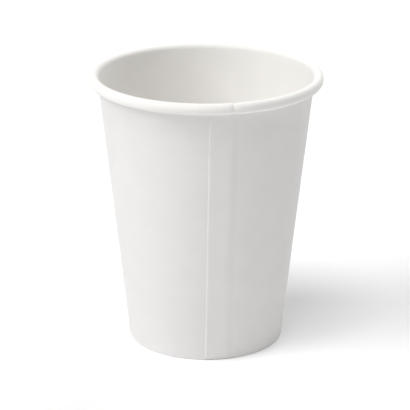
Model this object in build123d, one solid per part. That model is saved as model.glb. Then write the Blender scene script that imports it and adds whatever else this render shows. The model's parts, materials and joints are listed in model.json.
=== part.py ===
from build123d import *

import os
from math import cos, radians, sin, sqrt, tan

# A single-wall paper coffee cup, made of two pieces of coated paperboard.
#
# side_wall is one blank wrapped into a cone. Its straight edges lap at the front (-Y) and are sealed
# there, its top edge is rolled outwards into the rim, and its bottom edge is folded in and up into a hem.
# bottom_disc is a round blank with its edge turned down. That skirt is held between wall and hem, so the
# floor of the cup stands clear of the table.
#
# Millimetres and degrees. +Z is up, the cup's axis is Z, and the origin is the middle of the foot circle.

# driving dimensions
cup_height = 107.0
rim_diameter = 90.0
wall_lean = 6.2  # between the wall and the cup's axis
wall_board = 0.36
disc_board = 0.28

# rim roll, as radii of the board's middle
roll_top_radius = 1.70
roll_side_run = 0.60
roll_under_radius = 1.49
roll_tuck_radius = 1.10
roll_tuck_run = 0.50
roll_tuck_turn = 120.0

# foot: the hem and the skirt that it holds
fold_radius = 0.22
seal_gap = 0.03  # the coating, on each side of the skirt
hem_length = 5.4
floor_height = 7.0  # the top face of the disc
skirt_bend_radius = 0.55
skirt_foot_gap = 0.12  # between the skirt's edge and the inside of the fold

# side seam
lap_width = 8.0
lap_ramp = 3.0  # where the outer ply comes down beside the inner ply's edge
lap_fade = 0.45  # the height over which the plies are pressed together at the foot
lap_top_gap = 0.9  # the outer ply ends this far below the middle of the rim roll
step_fade = 5.0  # the height over which the inner step runs out below the rim
ramp_bite = 0.03  # each ramp ends this far past the face it comes down to, so that the two cross cleanly
cut_depth = 0.8  # how far the cutter of the inner step reaches into the open cup

lean = radians(wall_lean)
board_across = wall_board / cos(lean)  # the wall's thickness, measured level

# where the wall's middle line meets the rim roll
roll_start_z = cup_height - wall_board / 2 - roll_top_radius * (1 - sin(lean))
roll_start_r = rim_diameter / 2 - wall_board / 2 - roll_top_radius * (1 + cos(lean))

# the same line brought down to the table, and the foot fold on it
middle_r_at_table = roll_start_r - roll_start_z * tan(lean)
fold_gap = wall_board + disc_board + 2 * seal_gap  # between the middles of wall and hem
fold_flat = (fold_gap - 2 * fold_radius) / cos(lean)
fold_end_z = wall_board / 2 + fold_radius * (1 - sin(lean))
fold_end_r = middle_r_at_table + fold_end_z * tan(lean)
flat_outer_r = fold_end_r - fold_radius * cos(lean)
flat_inner_r = flat_outer_r - fold_flat
hem_edge_r = flat_inner_r - fold_radius * cos(lean) + hem_length * sin(lean)
hem_edge_z = wall_board / 2 + fold_radius * (1 + sin(lean)) + hem_length * cos(lean)
wall_run = (roll_start_z - fold_end_z) / cos(lean)


def heading_vector(heading):
    """The direction at an angle from the level outward direction, in the profile's plane."""
    return Vector(cos(radians(heading)), sin(radians(heading)))


def sheet_edges(start, heading, steps, aside):
    """One face of a bent sheet, as edges. aside is its distance to the left of the sheet's middle line."""
    point = start + heading_vector(heading + 90) * aside
    edges = []
    for kind, size, turn in steps:
        if kind == "run":
            edge = Line(point, point + heading_vector(heading) * size)
        else:
            inside = aside if turn > 0 else -aside
            edge = JernArc(point, heading_vector(heading), size - inside, turn)
        edges.append(edge)
        point = edge @ 1
        heading += turn
    return edges


def sheet_profile(start, heading, steps, thickness):
    """The section of a bent sheet: radius and height, as a face in the XZ plane."""
    left = sheet_edges(start, heading, steps, thickness / 2)
    right = sheet_edges(start, heading, steps, -thickness / 2)
    ends = [Line(left[0] @ 0, right[0] @ 0), Line(left[-1] @ 1, right[-1] @ 1)]
    return Plane.XZ * make_face([*left, *right, *ends])


def front_point(x, radius, z):
    """The point of a circle about the axis that is nearest the front, at a given x."""
    return Vector(x, -sqrt(radius**2 - x**2), z)


def wall_radius(z):
    """The outer face of the wall at a height."""
    return middle_r_at_table + board_across / 2 + z * tan(lean)


def hem_radius(z):
    """The inner face of the hem at a height."""
    return wall_radius(z) - board_across - fold_gap / cos(lean)


def ply_section(face_radius, raised, z):
    """A level section of the second ply of the lap. It stands raised above a face of the wall or hem,
    outwards, or inwards where raised is negative, and reaches half into the board behind that face."""
    left_x = -lap_width / 2
    right_x = lap_width / 2
    ramp_x = right_x + lap_ramp
    side = 1 if raised > 0 else -1
    inside = face_radius - side * board_across / 2
    ramp_end = face_radius - side * ramp_bite
    top = face_radius + raised
    outline = [
        ThreePointArc(front_point(left_x, top, z), front_point(0, top, z), front_point(right_x, top, z)),
        Line(front_point(right_x, top, z), front_point(ramp_x, ramp_end, z)),
        Line(front_point(ramp_x, ramp_end, z), front_point(ramp_x, inside, z)),
        ThreePointArc(
            front_point(ramp_x, inside, z),
            front_point(right_x / 2, inside, z),
            front_point(left_x, inside, z),
        ),
        Line(front_point(left_x, inside, z), front_point(left_x, top, z)),
    ]
    return make_face(outline)


def step_section(depth, z):
    """A level section of the space beside the inner ply's edge, inside the cup."""
    edge_x = lap_width / 2
    ramp_x = edge_x + lap_ramp
    face_radius = wall_radius(z) - board_across
    corners = [
        front_point(edge_x, face_radius + depth, z),
        front_point(ramp_x, face_radius - ramp_bite, z),
        front_point(ramp_x, face_radius - cut_depth, z),
        front_point(edge_x, face_radius - cut_depth, z),
    ]
    return make_face(Polyline(*corners, close=True))


def make_side_wall():
    """The wrapped blank: hem, foot fold, wall and rim roll turned about the axis, then the lap."""
    fold_turn_in = 90 + wall_lean
    steps = [
        ("run", hem_length, 0),
        ("bend", fold_radius, fold_turn_in),
        ("run", fold_flat, 0),
        ("bend", fold_radius, 180 - fold_turn_in),
        ("run", wall_run, 0),
        ("bend", roll_top_radius, -180),
        ("run", roll_side_run, 0),
        ("bend", roll_under_radius, -180),
        ("run", roll_tuck_run, 0),
        ("bend", roll_tuck_radius, -roll_tuck_turn),
    ]
    profile = sheet_profile(Vector(hem_edge_r, hem_edge_z), 270 - wall_lean, steps, wall_board)
    wall = revolve(profile, Axis.Z)

    # the outer ply of the lap, outside the wall and again inside the hem
    full_z = fold_end_z + lap_fade
    top_z = roll_start_z - lap_top_gap
    outer_ply = loft(
        [
            ply_section(wall_radius(fold_end_z), board_across / 8, fold_end_z),
            ply_section(wall_radius(full_z), board_across, full_z),
            ply_section(wall_radius(top_z), board_across, top_z),
        ],
        ruled=True,
    )
    hem_low_z = 2 * wall_board
    hem_full_z = hem_low_z + lap_fade
    hem_ply = loft(
        [
            ply_section(hem_radius(hem_low_z), -board_across / 8, hem_low_z),
            ply_section(hem_radius(hem_full_z), -board_across, hem_full_z),
            ply_section(hem_radius(hem_edge_z), -board_across, hem_edge_z),
        ],
        ruled=True,
    )

    # the step at the inner ply's edge, from the floor of the cup to the rim
    fade_start_z = top_z - step_fade
    inner_step = loft(
        [
            step_section(board_across, floor_height),
            step_section(board_across, fade_start_z),
            step_section(board_across / 8, top_z),
        ],
        ruled=True,
    )
    return wall + outer_ply + hem_ply - inner_step


def make_bottom_disc():
    """The floor of the cup, with its edge turned down into a skirt that leans with the wall."""
    middle_z = floor_height - disc_board / 2
    across = (wall_board / 2 + seal_gap + disc_board / 2) / cos(lean)
    bend_end_z = middle_z - skirt_bend_radius * (1 + sin(lean))
    bend_end_r = middle_r_at_table - across + bend_end_z * tan(lean)
    disc_run = bend_end_r - skirt_bend_radius * cos(lean)
    skirt_end_z = wall_board + skirt_foot_gap
    steps = [
        ("run", disc_run, 0),
        ("bend", skirt_bend_radius, -90 - wall_lean),
        ("run", (bend_end_z - skirt_end_z) / cos(lean), 0),
    ]
    profile = sheet_profile(Vector(0, middle_z), 0, steps, disc_board)
    return revolve(profile, Axis.Z)


os.makedirs("parts", exist_ok=True)
pieces = {
    "side_wall": make_side_wall(),
    "bottom_disc": make_bottom_disc(),
}
for name, piece in pieces.items():
    export_step(piece, f"parts/{name}.step")
    box = piece.bounding_box()
    print(name, "volume", round(piece.volume, 1), "from", box.min, "to", box.max)
print("foot circle from", round(flat_inner_r, 3), "to", round(flat_outer_r, 3))
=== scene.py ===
import json
import math

import bmesh
import bpy
from mathutils import Matrix, Vector

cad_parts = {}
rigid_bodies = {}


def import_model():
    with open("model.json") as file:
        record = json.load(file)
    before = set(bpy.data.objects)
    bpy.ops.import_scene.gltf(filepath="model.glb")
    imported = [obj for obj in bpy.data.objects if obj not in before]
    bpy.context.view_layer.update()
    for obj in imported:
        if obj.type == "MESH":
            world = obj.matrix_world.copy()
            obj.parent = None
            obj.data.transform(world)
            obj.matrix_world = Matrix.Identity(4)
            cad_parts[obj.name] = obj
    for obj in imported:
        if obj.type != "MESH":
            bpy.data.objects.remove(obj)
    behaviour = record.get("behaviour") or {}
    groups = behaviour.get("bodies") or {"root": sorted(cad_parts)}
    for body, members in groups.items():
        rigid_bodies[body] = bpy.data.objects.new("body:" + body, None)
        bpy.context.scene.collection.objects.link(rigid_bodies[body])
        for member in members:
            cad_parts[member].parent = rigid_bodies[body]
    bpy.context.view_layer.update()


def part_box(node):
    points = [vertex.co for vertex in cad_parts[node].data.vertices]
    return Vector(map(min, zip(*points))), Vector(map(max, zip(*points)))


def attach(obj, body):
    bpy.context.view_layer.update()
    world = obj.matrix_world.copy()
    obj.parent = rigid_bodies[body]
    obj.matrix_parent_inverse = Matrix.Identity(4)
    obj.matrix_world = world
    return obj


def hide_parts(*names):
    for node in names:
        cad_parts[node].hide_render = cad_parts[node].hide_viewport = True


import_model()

mm = 0.001
cupMiddle = Vector((0, 0, 0))
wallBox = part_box("side_wall")
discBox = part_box("bottom_disc")
rimRadius = (wallBox[1].x - wallBox[0].x) / 2
cupHeight = wallBox[1].z
print("frame: cup", round(2000 * rimRadius, 1), "mm across the rim,", round(1000 * cupHeight, 1), "mm tall")


def startPiece(name):
    # the primitive that was just added becomes the piece, with its place in its mesh
    piece = bpy.context.object
    piece.name = name
    piece.data.name = name
    bpy.ops.object.transform_apply(location=True, rotation=True, scale=True)
    return piece


def deselectAll():
    if bpy.context.object and bpy.context.object.mode == "EDIT":
        bpy.ops.object.mode_set(mode="OBJECT")
    bpy.ops.object.select_all(action="DESELECT")


def edit(piece):
    deselectAll()
    piece.select_set(True)
    bpy.context.view_layer.objects.active = piece
    bpy.ops.object.mode_set(mode="EDIT")


def pickPoints(piece, test):
    # selects the vertices that pass the test, and what lies between them
    bpy.ops.mesh.select_mode(type="VERT")
    bpy.ops.mesh.select_all(action="DESELECT")
    mesh = bmesh.from_edit_mesh(piece.data)
    count = 0
    for vert in mesh.verts:
        if test(vert.co):
            vert.select_set(True)
            count += 1
    mesh.select_flush(True)
    bmesh.update_edit_mesh(piece.data)
    return count


def pickFaces(piece, test):
    # selects the faces whose middle passes the test
    bpy.ops.mesh.select_mode(type="FACE")
    bpy.ops.mesh.select_all(action="DESELECT")
    mesh = bmesh.from_edit_mesh(piece.data)
    count = 0
    for face in mesh.faces:
        if test(face.calc_center_median()):
            face.select_set(True)
            count += 1
    bmesh.update_edit_mesh(piece.data)
    return count


def pickEdges(piece, test):
    # selects the edges whose two ends pass the test
    bpy.ops.mesh.select_mode(type="EDGE")
    bpy.ops.mesh.select_all(action="DESELECT")
    mesh = bmesh.from_edit_mesh(piece.data)
    count = 0
    for edge in mesh.edges:
        if test(edge):
            edge.select_set(True)
            count += 1
    bmesh.update_edit_mesh(piece.data)
    return count


def startSheet(name, point):
    # one vertex to draw a bent sheet's section from
    deselectAll()
    bpy.ops.mesh.primitive_plane_add(size=mm, location=point)
    piece = startPiece(name)
    edit(piece)
    bpy.ops.mesh.select_mode(type="VERT")
    bpy.ops.mesh.select_all(action="SELECT")
    bpy.ops.mesh.merge(type="CENTER")
    return piece


def drawSheet(start, heading, steps):
    # runs are extruded and bends are spun, from the selected end vertex. Headings turn from +X towards +Z
    tip = Vector(start)
    for kind, size, turn, count in steps:
        along = Vector((math.cos(heading), 0, math.sin(heading)))
        left = Vector((-math.sin(heading), 0, math.cos(heading)))
        if kind == "run":
            for part in range(count):
                bpy.ops.mesh.extrude_region_move(TRANSFORM_OT_translate={"value": along * size / count})
            tip = tip + along * size
        else:
            side = 1 if turn > 0 else -1
            centre = tip + left * side * size
            # spin turns clockwise about its axis
            bpy.ops.mesh.spin(steps=count, angle=abs(turn), center=centre, axis=(0, side, 0))
            heading += turn
            tip = centre - Vector((-math.sin(heading), 0, math.cos(heading))) * side * size
    return tip


def finishMesh(piece):
    bpy.ops.object.mode_set(mode="OBJECT")
    for polygon in piece.data.polygons:
        polygon.use_smooth = True


def applyModifier(piece, kind, **settings):
    deselectAll()
    piece.select_set(True)
    bpy.context.view_layer.objects.active = piece
    modifier = piece.modifiers.new(kind.lower(), kind)
    for key, value in settings.items():
        setattr(modifier, key, value)
    bpy.ops.object.modifier_apply(modifier=modifier.name)


cameraSet = {
    "azimuth": -7.25,
    "elevation": 19.55,
    "distance": 0.75,
    "lens": 168.0,
    "lookAt": (0, 0, 0.055),
    "aimRight": -0.33 * mm,  # how far the view's middle is right of that point
    "aimUp": -1.98 * mm,  # and above it
    "roll": 0.11,
}


def addCamera(settings):
    azimuth = math.radians(settings["azimuth"])
    elevation = math.radians(settings["elevation"])
    back = Vector(
        (
            math.sin(azimuth) * math.cos(elevation),
            -math.cos(azimuth) * math.cos(elevation),
            math.sin(elevation),
        )
    )
    turn = (-back).to_track_quat("-Z", "Y")
    right = turn @ Vector((1, 0, 0))
    up = turn @ Vector((0, 1, 0))
    aim = Vector(settings["lookAt"]) + right * settings["aimRight"] + up * settings["aimUp"]
    deselectAll()
    bpy.ops.object.camera_add(location=aim + back * settings["distance"])
    camera = bpy.context.object
    camera.name = "camera"
    camera.rotation_mode = "QUATERNION"
    camera.rotation_quaternion = turn @ Matrix.Rotation(math.radians(settings["roll"]), 4, "Z").to_quaternion()
    camera.data.lens = settings["lens"]
    camera.data.clip_start = 0.01
    camera.data.clip_end = 20
    bpy.context.scene.camera = camera


addCamera(cameraSet)
bpy.context.scene.view_settings.view_transform = "Standard"
print("camera placed")


paperSet = {
    "board": (0.85, 0.836, 0.828, 1),
    "film": (0.93, 0.915, 0.89, 1),
    "cutEdge": (0.87, 0.85, 0.82, 1),
    "cloudSize": 9 * mm,
    "cloudDepth": 0.012,
    "fibreSize": 0.28 * mm,
    "boardBump": 0.010 * mm,
    "filmBump": 0.006 * mm,
    "edgeBump": 0.02 * mm,
}


def addNode(tree, kind, **values):
    node = tree.nodes.new(kind)
    for key, value in values.items():
        node.inputs[key].default_value = value
    return node


def makePaper(name, colour, rough, bumpDepth, fibreSize, coat=0.0):
    # board is a mat of short fibres: faint clouds in its colour, and a fine uneven surface
    material = bpy.data.materials.new(name)
    material.use_nodes = True
    tree = material.node_tree
    links = tree.links
    surface = tree.nodes["Principled BSDF"]
    surface.inputs["Specular IOR Level"].default_value = 0.25
    surface.inputs["Coat Weight"].default_value = coat
    surface.inputs["Coat Roughness"].default_value = 0.35
    place = tree.nodes.new("ShaderNodeTexCoord")
    cloud = addNode(tree, "ShaderNodeTexNoise", Scale=1 / paperSet["cloudSize"], Detail=4.0, Roughness=0.6)
    fibre = addNode(tree, "ShaderNodeTexNoise", Scale=1 / fibreSize, Detail=5.0, Roughness=0.65)
    links.new(place.outputs["Object"], cloud.inputs["Vector"])
    links.new(place.outputs["Object"], fibre.inputs["Vector"])
    depth = paperSet["cloudDepth"]
    shade = addNode(tree, "ShaderNodeMapRange", **{"From Min": 0.3, "From Max": 0.7})
    shade.inputs["To Min"].default_value = 1 - depth
    shade.inputs["To Max"].default_value = 1 + depth
    links.new(cloud.outputs["Fac"], shade.inputs["Value"])
    tint = tree.nodes.new("ShaderNodeVectorMath")
    tint.operation = "SCALE"
    tint.inputs[0].default_value = colour[:3]
    links.new(shade.outputs["Result"], tint.inputs["Scale"])
    links.new(tint.outputs["Vector"], surface.inputs["Base Color"])
    gloss = addNode(tree, "ShaderNodeMapRange", **{"From Min": 0.3, "From Max": 0.7})
    gloss.inputs["To Min"].default_value = rough - 0.05
    gloss.inputs["To Max"].default_value = rough + 0.05
    links.new(fibre.outputs["Fac"], gloss.inputs["Value"])
    links.new(gloss.outputs["Result"], surface.inputs["Roughness"])
    bump = addNode(tree, "ShaderNodeBump", Strength=1.0, Distance=bumpDepth)
    links.new(fibre.outputs["Fac"], bump.inputs["Height"])
    links.new(bump.outputs["Normal"], surface.inputs["Normal"])
    return material


mattBoard = makePaper("matt_board", paperSet["board"], 0.84, paperSet["boardBump"], paperSet["fibreSize"])
clearFilm = makePaper("film_on_board", paperSet["film"], 0.66, paperSet["filmBump"], 3 * paperSet["fibreSize"])
cutBoard = makePaper("cut_board_edge", paperSet["cutEdge"], 0.92, paperSet["edgeBump"], paperSet["fibreSize"] / 3)


def addFinishes(sheet):
    # the sheet's outer face, its inner face and its cut edges, in the order that Solidify gives them
    for material in (mattBoard, clearFilm, cutBoard):
        sheet.data.materials.append(material)


wallSet = {
    "lean": math.radians(6.2),
    "board": 0.36 * mm,
    "rollTop": 1.70 * mm,
    "rollSide": 0.60 * mm,
    "rollUnder": 1.49 * mm,
    "tuckRun": 0.50 * mm,
    "tuck": 1.10 * mm,
    "tuckTurn": math.radians(120),
    "fold": 0.22 * mm,
    "foldFlat": 0.262 * mm,
    "hem": 5.4 * mm,
    "footRun": 1.2 * mm,  # the stretch beside the fold, which has closer rows
    "columns": 240,
    "wallRows": 36,
    "knurlDepth": 0.09 * mm,
    "softEdge": 0.05 * mm,
}

lapSet = {
    "halfWidth": 4.0 * mm,
    "ramp": 3.0 * mm,
    "rampSteps": 4,
    "liftOver": 0.012 * mm,  # air between the plies, beyond the board's thickness
    "pressed": (
        # from this height to that one, in mm, and how much of the wall's roundness is left
        (2, 4, 0.55),
        (4, 7, 0.2),
        (7, 97, 0.06),
        (97, 100, 0.3),
        (100, 102.5, 0.7),
    ),
    "lifted": (
        # from this height to that one, in mm, and the share of the outer ply's lift
        (-1, 0.5, 0.04),
        (0.5, 0.9, 0.45),
        (0.9, 1.3, 0.85),
        (1.3, 200, 1.0),
    ),
    "innerPlyFoot": 0.9 * mm,
    "crushRun": 0.42 * mm,  # the clamp crushes the outer ply this far in from its cut edge
    "crushDrop": 0.14 * mm,
    "crushFrom": 1.3 * mm,  # heights between which it is crushed
    "crushTo": 101 * mm,
    "crushThin": 0.3,  # what is left of the board's thickness there
    "grooveAt": 0.85 * mm,
    "grooveRun": 0.45 * mm,
    "grooveDepth": 0.03 * mm,
    "edgeWander": 0.05 * mm,
}


def rollStart(wall):
    # where the wall's middle line meets the rim roll
    z = cupHeight - wall["board"] / 2 - wall["rollTop"] * (1 - math.sin(wall["lean"]))
    r = rimRadius - wall["board"] / 2 - wall["rollTop"] * (1 + math.cos(wall["lean"]))
    return r, z


def middleRadius(wall, z):
    r, top = rollStart(wall)
    return r - (top - z) * math.tan(wall["lean"])


def makeWallSheet(wall):
    lean = wall["lean"]
    quarter = math.pi / 2
    foldEndZ = wall["board"] / 2 + wall["fold"] * (1 - math.sin(lean))
    flatInner = middleRadius(wall, foldEndZ) - wall["fold"] * math.cos(lean) - wall["foldFlat"]
    hemEdge = Vector(
        (
            flatInner - wall["fold"] * math.cos(lean) + wall["hem"] * math.sin(lean),
            0,
            wall["board"] / 2 + wall["fold"] * (1 + math.sin(lean)) + wall["hem"] * math.cos(lean),
        )
    )
    wallRun = (rollStart(wall)[1] - foldEndZ) / math.cos(lean)
    footRun = wall["footRun"]
    steps = [
        ("run", wall["hem"] - footRun, 0, 5),
        ("run", footRun, 0, 3),
        ("bend", wall["fold"], quarter + lean, 5),
        ("run", wall["foldFlat"], 0, 1),
        ("bend", wall["fold"], quarter - lean, 5),
        ("run", footRun, 0, 3),
        ("run", wallRun - footRun, 0, wall["wallRows"]),
        ("bend", wall["rollTop"], -math.pi, 14),
        ("run", wall["rollSide"], 0, 1),
        ("bend", wall["rollUnder"], -math.pi, 12),
        ("run", wall["tuckRun"], 0, 1),
        ("bend", wall["tuck"], -wall["tuckTurn"], 6),
    ]
    sheet = startSheet("cup_wall", hemEdge)
    drawSheet(hemEdge, 1.5 * math.pi - lean, steps)
    bpy.ops.mesh.select_all(action="SELECT")
    bpy.ops.mesh.spin(steps=wall["columns"], angle=math.tau, center=cupMiddle, axis=(0, 0, 1))
    bpy.ops.mesh.select_all(action="SELECT")
    bpy.ops.mesh.remove_doubles(threshold=0.001 * mm)
    faceOutwards(sheet, wall)
    return sheet


def faceOutwards(sheet, wall):
    bpy.ops.mesh.select_all(action="SELECT")
    bpy.ops.mesh.normals_make_consistent(inside=False)
    mesh = bmesh.from_edit_mesh(sheet.data)
    middle = [f for f in mesh.faces if abs(f.calc_center_median().z - cupHeight / 2) < 3 * mm]
    face = middle[0]
    if face.normal.dot(face.calc_center_median()) < 0:
        bpy.ops.mesh.flip_normals()


def onWall(point, wall):
    # near the wall's middle line, so not on the roll or the hem
    radius = math.hypot(point.x, point.y)
    return abs(radius - middleRadius(wall, point.z)) < 0.12 * mm and point.z > 0.3 * mm


def onHem(point, wall):
    radius = math.hypot(point.x, point.y)
    return point.z < 6.5 * mm and radius < middleRadius(wall, point.z) - 0.4 * mm


def knurlHem(sheet, wall):
    # the hem is sealed by a toothed wheel: every second column of points is pressed in
    edit(sheet)
    step = math.tau / wall["columns"]
    picked = pickPoints(
        sheet,
        lambda p: onHem(p, wall)
        and wall["footRun"] < p.z < wall["hem"]
        and round(math.atan2(p.y, p.x) / step) % 2 == 1,
    )
    bpy.ops.transform.shrink_fatten(value=wall["knurlDepth"])
    print("hem knurled:", picked, "points")


def cutLap(sheet, wall, lap):
    # straight lines of points down the front, where the plies begin and end
    half = lap["halfWidth"]
    places = [-half, lap["crushRun"] - half, lap["grooveAt"] - half, lap["grooveAt"] + lap["grooveRun"] - half]
    places += [-half / 2, 0, half / 2]
    places += [half + lap["ramp"] * step / lap["rampSteps"] for step in range(lap["rampSteps"] + 1)]
    edit(sheet)
    for x in places:
        pickFaces(sheet, lambda c: c.y < 0 and abs(c.x) < 14 * mm)
        bpy.ops.mesh.bisect(plane_co=(x, 0, 0), plane_no=(1, 0, 0), threshold=0.0001 * mm)
    # the spun columns between them go
    tiny = 0.0005 * mm

    def isSpunColumn(edge):
        start, end = edge.verts[0].co, edge.verts[1].co
        across = (start.x + end.x) / 2
        isCut = any(abs(start.x - x) < tiny and abs(end.x - x) < tiny for x in places)
        return (
            start.y < 0
            and places[0] < across < places[-1]
            and abs(start.x - end.x) < 0.5 * (start - end).length
            and not isCut
        )

    picked = pickEdges(sheet, isSpunColumn)
    bpy.ops.mesh.dissolve_edges(use_verts=True)
    print("lap cut:", picked, "edges cleared")


def pressLap(sheet, wall, lap):
    # the seam is clamped flat: the plies are squashed onto the plane through their two edges
    lean = wall["lean"]
    half = lap["halfWidth"] - 0.01 * mm
    reach = middleRadius(wall, cupHeight / 2)
    middle = Vector((0, -math.sqrt(reach**2 - lap["halfWidth"] ** 2), cupHeight / 2))
    slope = Matrix(((1, 0, 0), (0, math.cos(lean), -math.sin(lean)), (0, math.sin(lean), math.cos(lean))))
    for low, high, keep in lap["pressed"]:
        picked = pickPoints(
            sheet,
            lambda p: p.y < 0 and abs(p.x) < half and low * mm <= p.z < high * mm and onWall(p, wall),
        )
        print("lap pressed from", low, "to", high, "mm:", picked, "points")
        bpy.ops.transform.resize(
            value=(1, keep, 1),
            orient_type="GLOBAL",
            orient_matrix=slope,
            orient_matrix_type="GLOBAL",
            constraint_axis=(False, True, False),
            center_override=middle,
        )


def makeLap(sheet, wall, lap):
    # the outer ply starts as a copy of the sheet at the front, lifted by one board's thickness
    half = lap["halfWidth"]
    rampEnd = half + lap["ramp"]
    tiny = 0.02 * mm
    pickFaces(sheet, lambda c: c.y < 0 and -half < c.x < rampEnd)
    bpy.ops.mesh.duplicate()
    bpy.ops.mesh.separate(type="SELECTED")
    pickFaces(sheet, lambda c: c.y < 0 and half < c.x < rampEnd)
    bpy.ops.mesh.delete(type="FACE")
    # the inner ply stops short of the foot's fold, where the plies are pressed into one
    pickFaces(sheet, lambda c: c.y < 0 and abs(c.x) < half and c.z < lap["innerPlyFoot"])
    bpy.ops.mesh.delete(type="FACE")
    deselectAll()
    ply = [o for o in bpy.data.objects if o.name.startswith("cup_wall.")][0]
    edit(ply)
    lift = wall["board"] + lap["liftOver"]
    for low, high, share in lap["lifted"]:
        for step in range(lap["rampSteps"] + 1):
            along = step / lap["rampSteps"]
            rise = (1 + math.cos(math.pi * along)) / 2
            x = half + lap["ramp"] * along
            if step == 0:
                pickPoints(ply, lambda p: p.x < x + tiny and low * mm <= p.z < high * mm)
            else:
                pickPoints(ply, lambda p: abs(p.x - x) < tiny and low * mm <= p.z < high * mm)
            if rise > 0.001:
                bpy.ops.transform.shrink_fatten(value=lift * rise * share)
    deselectAll()
    ply.select_set(True)
    sheet.select_set(True)
    bpy.context.view_layer.objects.active = sheet
    bpy.ops.object.join()
    edit(sheet)
    pickPoints(sheet, lambda p: p.y < 0 and abs(p.x - rampEnd) < tiny)
    bpy.ops.mesh.remove_doubles(threshold=0.004 * mm)


def crushEdge(sheet, wall, lap):
    # the outer ply's cut edge is squeezed thin and wanders a little, with a clamp mark beside it
    edit(sheet)
    half = lap["halfWidth"]
    near = 0.1 * mm

    def onOuterPly(p, across):
        lifted = math.hypot(p.x, p.y) - middleRadius(wall, p.z) > 0.5 * wall["board"]
        return p.y < 0 and abs(p.x - across) < near and lifted and lap["crushFrom"] < p.z < lap["crushTo"]

    pickPoints(sheet, lambda p: onOuterPly(p, lap["grooveAt"] - half))
    bpy.ops.transform.shrink_fatten(value=-lap["grooveDepth"])
    picked = pickPoints(sheet, lambda p: onOuterPly(p, -half))
    bpy.ops.transform.shrink_fatten(value=-lap["crushDrop"])
    bpy.ops.object.mode_set(mode="OBJECT")
    edge = [vert.index for vert in sheet.data.vertices if vert.select]
    rest = [vert.index for vert in sheet.data.vertices if not vert.select]
    group = sheet.vertex_groups.new(name="thickness")
    group.add(rest, 1.0, "REPLACE")
    group.add(edge, 0.0, "REPLACE")
    edit(sheet)
    bpy.ops.transform.vertex_random(offset=lap["edgeWander"], uniform=0.3, normal=0.0, seed=4)
    print("crushed edge:", picked, "points")


wallSheet = makeWallSheet(wallSet)
print("wall sheet drawn")
knurlHem(wallSheet, wallSet)
cutLap(wallSheet, wallSet, lapSet)
pressLap(wallSheet, wallSet, lapSet)
makeLap(wallSheet, wallSet, lapSet)
crushEdge(wallSheet, wallSet, lapSet)
finishMesh(wallSheet)
addFinishes(wallSheet)
applyModifier(
    wallSheet,
    "SOLIDIFY",
    thickness=wallSet["board"],
    vertex_group="thickness",
    thickness_vertex_group=lapSet["crushThin"],
    offset=0,
    use_even_offset=True,
    use_quality_normals=True,
    material_offset=1,
    material_offset_rim=2,
)
print("wall board:", len(wallSheet.data.polygons), "faces")
applyModifier(
    wallSheet,
    "BEVEL",
    width=wallSet["softEdge"],
    segments=2,
    limit_method="ANGLE",
    angle_limit=math.radians(65),
)
edit(wallSheet)  # slivers left by the bevel are cleared
bpy.ops.mesh.select_all(action="SELECT")
bpy.ops.mesh.dissolve_degenerate(threshold=0.002 * mm)
finishMesh(wallSheet)

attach(wallSheet, "root")
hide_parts("side_wall")


discSet = {
    "board": 0.28 * mm,
    "bend": 0.55 * mm,
    "gap": 0.03 * mm,
    "footGap": 0.12 * mm,
    "columns": 192,
    "rings": 16,
    "sag": 0.30 * mm,
    "pleatDepth": 0.05 * mm,
}


def makeDiscSheet(disc, wall):
    # the disc's middle line: level to the bend, then down beside the wall
    lean = wall["lean"]
    top = discBox[1].z - disc["board"] / 2
    across = (wall["board"] / 2 + disc["gap"] + disc["board"] / 2) / math.cos(lean)
    bendEndZ = top - disc["bend"] * (1 + math.sin(lean))
    bendEndR = middleRadius(wall, bendEndZ) - across
    level = bendEndR - disc["bend"] * math.cos(lean)
    skirt = (bendEndZ - wall["board"] - disc["footGap"]) / math.cos(lean)
    edgeRun = 2 * mm
    steps = [
        ("run", level - edgeRun, 0, disc["rings"]),
        ("run", edgeRun, 0, 4),  # closer rings beside the bend
        ("bend", disc["bend"], -math.pi / 2 - lean, 8),
        ("run", skirt, 0, 6),
    ]
    sheet = startSheet("cup_disc", (0, 0, top))
    drawSheet((0, 0, top), 0, steps)
    bpy.ops.mesh.select_all(action="SELECT")
    bpy.ops.mesh.spin(steps=disc["columns"], angle=math.tau, center=cupMiddle, axis=(0, 0, 1))
    bpy.ops.mesh.select_all(action="SELECT")
    bpy.ops.mesh.remove_doubles(threshold=0.001 * mm)
    bpy.ops.mesh.select_all(action="SELECT")
    bpy.ops.mesh.normals_make_consistent(inside=False)
    mesh = bmesh.from_edit_mesh(sheet.data)
    middle = [f for f in mesh.faces if f.calc_center_median().z > top - 0.01 * mm]
    if middle[0].normal.z > 0:
        bpy.ops.mesh.flip_normals()
    return sheet, top, level


def shapeDisc(sheet, disc, top, level):
    # the board gathers in small pleats where it turns down, and its middle sags a little
    edit(sheet)
    step = math.tau / disc["columns"]
    picked = pickPoints(
        sheet,
        lambda p: top - 3 * mm < p.z < top - 0.05 * mm and round(math.atan2(p.y, p.x) / step) % 3 == 1,
    )
    bpy.ops.transform.shrink_fatten(value=-disc["pleatDepth"])
    for ring in range(1, disc["rings"]):
        edge = level * (1 - ring / disc["rings"])
        pickPoints(sheet, lambda p: math.hypot(p.x, p.y) < edge and p.z > top - 1 * mm)
        slope = math.sin(math.pi * ring / disc["rings"])
        drop = disc["sag"] * slope / (disc["rings"] * 2 / math.pi)
        bpy.ops.transform.translate(value=(0, 0, -drop))
    print("disc pleated:", picked, "points")


discSheet, discTop, discLevel = makeDiscSheet(discSet, wallSet)
shapeDisc(discSheet, discSet, discTop, discLevel)
finishMesh(discSheet)
addFinishes(discSheet)
applyModifier(
    discSheet,
    "SOLIDIFY",
    thickness=discSet["board"],
    offset=0,
    use_even_offset=True,
    use_quality_normals=True,
    material_offset=1,
    material_offset_rim=2,
)
print("disc board:", len(discSheet.data.polygons), "faces")

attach(discSheet, "root")
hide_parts("bottom_disc")


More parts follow.
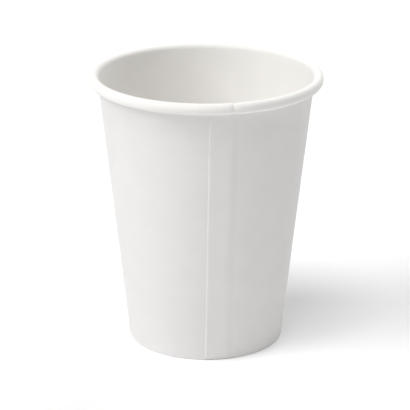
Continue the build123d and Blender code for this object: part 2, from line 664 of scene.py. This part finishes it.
lightSet = {
    # azimuth and elevation in degrees, distance and width in metres, watts
    "key_light": (-78, 44, 3.0, 2.0, 47.5),
    "top_light": (-25, 72, 3.0, 1.25, 28),
    "fill_light": (140, 32, 3.0, 2.4, 36),
    "sky": 0.37,
    "floor": 0.9,
    "floorSeen": 0.99,
}


def addFloor():
    deselectAll()
    bpy.ops.mesh.primitive_plane_add(size=8, location=(0, 0, 0))
    floor = startPiece("floor")
    material = bpy.data.materials.new("floor")
    material.use_nodes = True
    nodes = material.node_tree.nodes
    links = material.node_tree.links
    nodes.clear()
    output = nodes.new("ShaderNodeOutputMaterial")
    diffuse = nodes.new("ShaderNodeBsdfDiffuse")
    path = nodes.new("ShaderNodeLightPath")
    shade = nodes.new("ShaderNodeMapRange")
    shade.inputs["To Min"].default_value = lightSet["floor"]
    shade.inputs["To Max"].default_value = lightSet["floorSeen"]
    links.new(path.outputs["Is Camera Ray"], shade.inputs["Value"])
    links.new(shade.outputs["Result"], diffuse.inputs["Color"])
    links.new(diffuse.outputs[0], output.inputs["Surface"])
    floor.data.materials.append(material)


def addLamp(name, azimuth, elevation, distance, width, power):
    turn = math.radians(azimuth)
    rise = math.radians(elevation)
    towards = Vector((math.sin(turn) * math.cos(rise), -math.cos(turn) * math.cos(rise), math.sin(rise)))
    deselectAll()
    bpy.ops.object.light_add(type="AREA", location=towards * distance)
    lamp = bpy.context.object
    lamp.name = name
    lamp.rotation_mode = "QUATERNION"
    lamp.rotation_quaternion = towards.to_track_quat("Z", "Y")
    lamp.data.shape = "DISK"
    lamp.data.size = width
    lamp.data.energy = power


def addLights(light):
    for name in ("key_light", "top_light", "fill_light"):
        addLamp(name, *light[name])
    world = bpy.data.worlds.new("sky")
    bpy.context.scene.world = world
    world.use_nodes = True
    nodes = world.node_tree.nodes
    links = world.node_tree.links
    nodes.clear()
    output = nodes.new("ShaderNodeOutputWorld")
    mixer = nodes.new("ShaderNodeMixShader")
    path = nodes.new("ShaderNodeLightPath")
    dim = nodes.new("ShaderNodeBackground")
    white = nodes.new("ShaderNodeBackground")
    dim.inputs["Strength"].default_value = light["sky"]
    links.new(path.outputs["Is Camera Ray"], mixer.inputs[0])
    links.new(dim.outputs[0], mixer.inputs[1])
    links.new(white.outputs[0], mixer.inputs[2])
    links.new(mixer.outputs[0], output.inputs["Surface"])


addFloor()
addLights(lightSet)

print("done")
